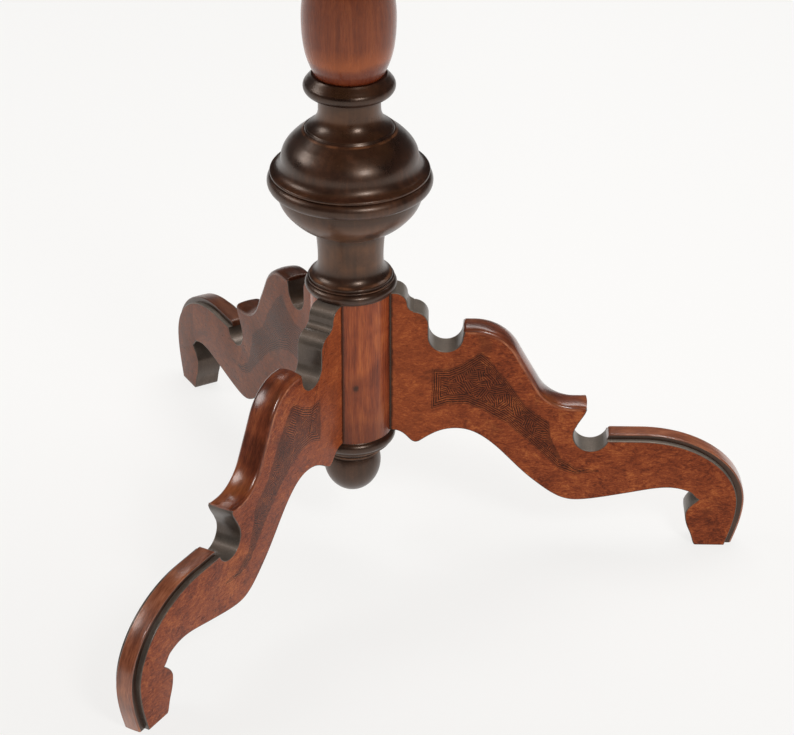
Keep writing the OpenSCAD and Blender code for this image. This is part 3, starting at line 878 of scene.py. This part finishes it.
def capital_profile():
    z = CAPITAL_Z0
    return ([(BORE_R, z), (28, z)] + arc(28, z + 6, 6, 6, -90, 90, 24) + [(27, z + 12)]
            + curve((27, z + 12), (25, z + 22), (31, z + 29), (40, z + 31), 20)
            + arc(40, z + 34.5, 3.5, 3.5, -90, 90, 18) + [(BORE_R, CAPITAL_Z1)])


def collar_profile():
    bore = SPIGOT_R + 0.1
    return ([(bore, COLLAR_Z0), (26.6, COLLAR_Z0), (27.3, COLLAR_Z0 + 0.6), (27.3, 98.4), (26.9, 99)]
            + curve((26.9, 99), (28, 101.5), (31, 104), (34.2, 105), 14)
            + [(35.3, 105.5), (35.6, 106.4), (35.4, 107.6)] + arc(35.2, 113.2, 4.2, 5.2, -68, 75, 24)
            + [(35.8, CORE_Z0), (bore, CORE_Z0)])


def finial_profile():
    ball_r, ball_z = 26, 83
    return ([(0, TIP_Z)] + arc(0, ball_z, ball_r, ball_z - TIP_Z, -84, 0, 28)
            + arc(0, ball_z, ball_r, ball_r, 3, 30, 10)
            + [(SPIGOT_R, COLLAR_Z0), (SPIGOT_R, SPIGOT_TOP), (0, SPIGOT_TOP)])


def core_profile():
    return [(0, CORE_Z0), (CORE_R - 0.4, CORE_Z0), (CORE_R, CORE_Z0 + 0.4), (CORE_R, CORE_Z1 - 0.4),
            (CORE_R - 0.4, CORE_Z1), (POST_R, CORE_Z1), (POST_R, POST_TOP - 0.6), (POST_R - 0.6, POST_TOP),
            (0, POST_TOP)]


TURNED = (
    # node, outline, material, slot
    ("base_moulding", base_profile, "ebony", "ebonised"),
    ("bowl_lower", bowl_lower_profile, "ebony", "ebonised"),
    ("bowl_upper", bowl_upper_profile, "ebony", "ebonised"),
    ("neck_ring", ring_profile, "ebony", "ebonised"),
    ("baluster", baluster_profile, "baluster", "red_wood"),
    ("capital", capital_profile, "ebony", "ebonised"),
    ("collar", collar_profile, "ebony", "ebonised"),
    ("finial", finial_profile, "ebony", "ebonised"),
    ("core_post", core_profile, "core", "red_wood"),
)
for node, profile, material, slot in TURNED:
    turned(node, profile(), MAT[material], "stand", slot)


# ---- Legs ----

EDGE_ROUGH = 0.36
ARRIS = 0.8
KNEE_ARRIS = 3.2
KNEE_CROWN = 2.0
EDGE, KNEE, FACE, WORN_AND_LIT_ARRIS = range(4)
LEG_LEVELS = (0, 2.4, 4.8, 7.0, 8.8, 10.0, 10.7, 11.25, PLANK_T / 2)
FACE_LEVELS = (PLANK_T / 2, 11.9, 12.1, 12.27, 12.4, 12.47, LEG_T / 2)


def edge_drop(s, arris, crown):
    """How far a leg's edge falls back at offset s from its middle."""
    half = LEG_T / 2
    past = max(0.0, (abs(s) - (half - arris)) / arris)
    return crown * (s / half) ** 2 + arris * (1 - math.sqrt(max(0.0, 1 - past * past)))


def leg_edge(kinds):
    """Function of s that says how far each point of the outline moves at that offset."""
    on_knee = [i for i, kind in enumerate(kinds) if kind == "polish"]
    first, last = on_knee[0], on_knee[-1] + 1

    def at(s):
        plain = edge_drop(s, ARRIS, 0.0)
        proud = edge_drop(s, KNEE_ARRIS, KNEE_CROWN)

        def move(i):
            share = max(0.0, min(1.0, (i - first + 1) / 3, (last - i + 1) / 3))
            return -(plain + (proud - plain) * share)
        return move
    return at


def leg_materials(letter, angle):
    """The four finishes of a leg, in the order EDGE, KNEE, FACE, WORN_AND_LIT_ARRIS; the last is the
    knee's arris, worn and with a painted highlight.
    """
    dull = letter == DULL_LEG
    share = DULL_SHARE if dull else 1.0
    polish = DULL_POLISH if dull else POLISH
    along = (0.15, 1, 0.15)
    return [
        ebonised("ebonised_edge_" + letter, angle, EDGE_ROUGH, EDGE_TONES, level=0.75, scuff=0.8,
                 **EDGE_COAT_AND_SHEEN[letter]),
        straight_wood("knee_polish_" + letter, scaled(KNEE_TONES, share), along, angle,
                      1.0 + angle / 60, **polish),
        burl("leg_face_" + letter, angle, seed=1.0 + angle / 50, pen=True,
             crack=letter == CRACKED_LEG, faded=0.5 if dull else 0.0),
        # The knee's arris: worn polish with a painted highlight line.
        straight_wood("knee_arris_worn_and_lit_" + letter, scaled(ARRIS_TONES, share), along, angle,
                      seed=2.0, coat=0.3),
    ]


def make_leg(letter, angle):
    """A plank and its two faces, each cut to the same outline."""
    materials = leg_materials(letter, angle)
    outline, kinds = leg_outline(HOUSING_R)
    at = leg_edge(kinds)
    levels = [-s for s in reversed(LEG_LEVELS[1:])] + list(LEG_LEVELS)
    plank = slab("leg_%s_plank" % letter, outline, [(s, at(s)) for s in levels], materials,
                 lambda level, i: KNEE if kinds[i] == "polish" else EDGE, (EDGE, EDGE), angle)
    stand_for(plank, "stand", "ebonised", "leg_" + letter)

    face_outline, face_kinds = leg_outline(VENEER_R)
    face_at = leg_edge(face_kinds)

    def finish(level, i):
        if face_kinds[i] != "polish":
            return EDGE
        # The knee's rounded arris takes the lighter finish: worn polish and a painted highlight line.
        return WORN_AND_LIT_ARRIS if level >= 2 else KNEE

    for side, sign in (("l", 1), ("r", -1)):
        sections = [(sign * s, face_at(s)) for s in FACE_LEVELS]
        veneer = slab("leg_%s_face_%s" % (letter, side), face_outline, sections, materials, finish,
                      (EDGE, FACE), angle)
        stand_for(veneer, "stand", "burl_veneer", "leg_%s_veneer_%s" % (letter, side))


STRIP_OUT = 7.0
STRIP_ARRIS = 1.3
STRIP_CROWN = 0.06
STRIP_SIDE, STRIP_TOP = range(2)


def strip_section():
    """Points (s, share of the height, finish of the face that starts there) over the strip."""
    half = STRIP_W / 2
    rise = 1 - STRIP_ARRIS / STRIP_H
    bend = (1 - rise) * (1 - STRIP_CROWN)
    left = [(-half, 0.0, STRIP_SIDE), (-half, rise, STRIP_TOP)]
    for turn in (22.5, 45, 67.5):
        t = math.radians(turn)
        left.append((-half + STRIP_ARRIS * (1 - math.cos(t)), rise + bend * math.sin(t), STRIP_TOP))
    middle = [(x, 1 - STRIP_CROWN * (x / half) ** 2, STRIP_TOP)
              for x in (-6.2, -4.2, -2.1, 0, 2.1, 4.2, 6.2)]
    right = [(-s, h, STRIP_TOP) for s, h, finish in reversed(left)]
    right[-2:] = [(s, h, STRIP_SIDE) for s, h, finish in right[-2:]]
    return left + middle + right


def strip_lines():
    """The strip's lower and upper lines as lists of (radius, height), rounded where it starts."""
    foot, head = FOOT_TOP_Z, FOOT_TOP_Z + STRIP_H
    low = [(LIP_R + out, foot) for out in (0, 0.9, 2.4, 6)]
    high = [(LIP_R + out, head - drop)
            for out, drop in ((1.2, 1.6), (1.9, 0.5), (3.2, 0), (6.5, 0))]
    return low + toe(n=60)[1:], high + toe(STRIP_H, STRIP_OUT, 60)[1:]


def make_strip(letter, angle):
    """The raised strip over the toe, crowned and with rounded arrises."""
    dull = letter == DULL_LEG
    side = ebonised("strip_side_" + letter, angle, EDGE_ROUGH, coat=0.15)
    top = straight_wood("strip_polish_" + letter, scaled(STRIP_LIT_TONES, DULL_SHARE if dull else 1.0),
                        (0.12, 1, 0.12), angle, 2.0 + angle / 70, **(DULL_POLISH if dull else POLISH))
    low, high = strip_lines()
    section = strip_section()
    turn = Matrix.Rotation(math.radians(angle), 3, "Z")
    verts, faces, picks = [], [], []
    for (r0, z0), (r1, z1) in zip(low, high):
        for s, share, finish in section:
            verts.append(tuple(turn @ Vector((r0 + (r1 - r0) * share, s, z0 + (z1 - z0) * share))))
    count = len(section)
    for i in range(len(low) - 1):
        for k in range(count):
            m = (k + 1) % count
            a, b = i * count, (i + 1) * count
            faces.append((a + k, a + m, b + m, b + k))
            picks.append(section[k][2])
    faces.append(tuple(range(count)))
    picks.append(STRIP_TOP)
    faces.append(tuple(range((len(low) - 1) * count, len(low) * count)))
    picks.append(STRIP_SIDE)
    strip = new_object("foot_strip_%s_shaped" % letter, verts, faces, [side, top], picks)
    stand_for(strip, "stand", "red_wood", "foot_strip_" + letter)


for letter, angle in LEG_ANGLES.items():
    make_leg(letter, angle)
    make_strip(letter, angle)


# ---- Block, bearers, catch and top ----

FITTINGS = (
    # node, material, width of the softened edges, body, slot
    ("top_block", "red", 1.2, "stand", "red_wood"),
    ("bearer_l", "red", 1.2, "top", "red_wood"),
    ("bearer_r", "red", 1.2, "top", "red_wood"),
    ("pivot_pins", "red", 0.5, "stand", "red_wood"),
    ("keeper_plate", "brass", 0.25, "stand", "brass"),
    ("catch_case", "brass", 0.25, "top", "brass"),
    ("catch_bolt", "brass", 0.3, "catch", "brass"),
    ("catch_knob", "brass", 0.3, "catch", "brass"),
    ("keeper_screws", "brass", 0.1, "stand", "brass"),
    ("bearer_screws", "brass", 0.1, "top", "brass"),
    ("catch_screws", "brass", 0.1, "top", "brass"),
)
for node, material, width, body, slot in FITTINGS:
    softened(node, MAT[material], width, body, slot)


def edge_profile():
    z0 = UNDER_Z - 4
    waist = TOP_R - 5.5
    return ([(BOARD_R, z0), (TOP_R - 6.6, z0), (TOP_R - 6, z0 + 0.6), (waist, z0 + 3)]
            + curve((waist, z0 + 3), (waist, z0 + 7), (TOP_R - 1, z0 + 7), (TOP_R - 0.6, z0 + 10), 12)
            + arc(TOP_R - 6, TABLE_H - 8, 6, 8, -40, 90, 26) + [(BOARD_R, TABLE_H)])


def dress(node, material):
    """Give a carried-over CAD node the material in place of its own."""
    materials = bpy.data.objects[node].data.materials
    materials.clear()
    materials.append(material)


moulding_stain = ebonised("ebonised_moulding", smudge=0.0)
turned("edge_moulding", edge_profile(), moulding_stain, "top", "ebonised", segments=256)
for node in ("leg_dowels", "tenon_wedge"):
    dress(node, MAT["pine"])
BOARD_BRIGHTNESS = (0.86, 1.04, 0.93, 1.1)
for number, brightness in enumerate(BOARD_BRIGHTNESS, 1):
    dress("top_board_%d" % number, pine("pine_board_%d" % number, brightness, number * 1.9))
dress("top_veneer", burl("top_face", seed=4.0, matched=True))


# ---- Floor, light and camera ----

FLOOR_SIZE = 30.0
FLOOR_COLOUR = (0.14, 0.138, 0.136, 1)
GLOW_COLOUR = (1.0, 0.993, 0.978, 1)
FLOOR_GLOW = 0.815


def floor_material():
    """Pale matt floor that glows a little, so that it stays pale under soft light."""
    s = Shader("pale_floor")
    s.set(Base_Color=FLOOR_COLOUR, Roughness=0.9, Specular_IOR_Level=0.1)
    s.set(Emission_Color=GLOW_COLOUR, Emission_Strength=FLOOR_GLOW)
    return s.material


def make_floor():
    mesh = bpy.data.meshes.new("floor")
    corners = [(x * FLOOR_SIZE, y * FLOOR_SIZE, 0) for x, y in ((-1, -1), (1, -1), (1, 1), (-1, 1))]
    mesh.from_pydata(corners, [], [(0, 1, 2, 3)])
    mesh.materials.append(floor_material())
    obj = bpy.data.objects.new("floor", mesh)
    bpy.context.scene.collection.objects.link(obj)


LIGHT_DISTANCE = 2.6
LIGHT_TARGET = Vector((0, 0, 0.3))
LIGHTS = (
    # name, azimuth (0 in front, 90 to the right), elevation, size in metres, watts
    ("key", 29, 38, (0.5, 0.75), 30),
    ("fill", -95, 38, (1.1, 0.9), 21),
    ("overhead", 160, 62, (2.4, 1.6), 60),
)


def softbox(name, azimuth, elevation, size, power):
    """Area light that faces the target from the azimuth and elevation."""
    az, el = math.radians(azimuth), math.radians(elevation)
    away = Vector((math.sin(az) * math.cos(el), -math.cos(az) * math.cos(el), math.sin(el)))
    data = bpy.data.lights.new(name, "AREA")
    data.shape = "RECTANGLE"
    data.size, data.size_y = size
    data.energy = power
    obj = bpy.data.objects.new(name, data)
    obj.location = LIGHT_TARGET + away * LIGHT_DISTANCE
    obj.rotation_euler = away.to_track_quat("Z", "Y").to_euler()
    bpy.context.scene.collection.objects.link(obj)


# Strengths of the world, as the polish reflects it and as the camera sees it.
ROOM_DARK = 0.0122
ROOM_LIGHT = 0.0509
CEILING_SHARE = 0.55
BACKDROP = 0.81
BACKDROP_COLOUR = (1.0, 0.996, 0.988, 1)


def make_world():
    """A pale backdrop to the camera; to everything else a dim room, darkest on the camera's side."""
    world = bpy.data.worlds.new("studio")
    bpy.context.scene.world = world
    world.use_nodes = True
    nodes, links = world.node_tree.nodes, world.node_tree.links
    background = nodes["Background"]
    background.inputs["Color"].default_value = BACKDROP_COLOUR
    direction = nodes.new("ShaderNodeSeparateXYZ")
    links.new(nodes.new("ShaderNodeTexCoord").outputs["Generated"], direction.inputs[0])
    behind = nodes.new("ShaderNodeMapRange")
    above = nodes.new("ShaderNodeMapRange")
    spans = ((behind, "Y", (-0.7, 0.5, ROOM_DARK, ROOM_LIGHT)),
             (above, "Z", (0.35, 0.9, 1.0, CEILING_SHARE)))
    for node, socket, values in spans:
        links.new(direction.outputs[socket], node.inputs["Value"])
        for name, value in zip(("From Min", "From Max", "To Min", "To Max"), values):
            node.inputs[name].default_value = value
    room = nodes.new("ShaderNodeMath")
    room.operation = "MULTIPLY"
    links.new(behind.outputs[0], room.inputs[0])
    links.new(above.outputs[0], room.inputs[1])
    seen = nodes.new("ShaderNodeMix")
    links.new(nodes.new("ShaderNodeLightPath").outputs["Is Camera Ray"], seen.inputs[0])
    links.new(room.outputs[0], seen.inputs[2])
    seen.inputs[3].default_value = BACKDROP
    links.new(seen.outputs[0], background.inputs["Strength"])


# In degrees and metres, and the lens in millimetres.
CAMERA_AZIMUTH = 2.094
CAMERA_DISTANCE = 2.1756
CAMERA_HEIGHT = 1.4198
CAMERA_PITCH = 29.72
CAMERA_YAW = 1.0735
CAMERA_ROLL = 0.06
CAMERA_LENS = 126.4


def make_camera():
    """Camera in front of the table, a little to the right, looking down."""
    data = bpy.data.cameras.new("camera")
    data.lens = CAMERA_LENS
    data.sensor_width = 36.0
    obj = bpy.data.objects.new("camera", data)
    bpy.context.scene.collection.objects.link(obj)
    yaw, pitch, roll = (math.radians(v) for v in (CAMERA_YAW, CAMERA_PITCH, CAMERA_ROLL))
    ahead = math.cos(pitch)
    forward = Vector((math.sin(yaw) * ahead, math.cos(yaw) * ahead, -math.sin(pitch)))
    level = Vector((math.cos(yaw), -math.sin(yaw), 0))
    up = level.cross(forward)
    right = math.cos(roll) * level + math.sin(roll) * up
    up = right.cross(forward)
    swing = Matrix.Rotation(math.radians(CAMERA_AZIMUTH), 4, "Z")
    frame_axes = Matrix((right, up, -forward)).transposed().to_4x4()
    place = Matrix.Translation((0, -CAMERA_DISTANCE, CAMERA_HEIGHT))
    obj.matrix_world = swing @ place @ frame_axes
    bpy.context.scene.camera = obj


make_floor()
make_world()
for light in LIGHTS:
    softbox(*light)
make_camera()
bpy.context.scene.view_settings.view_transform = "Standard"
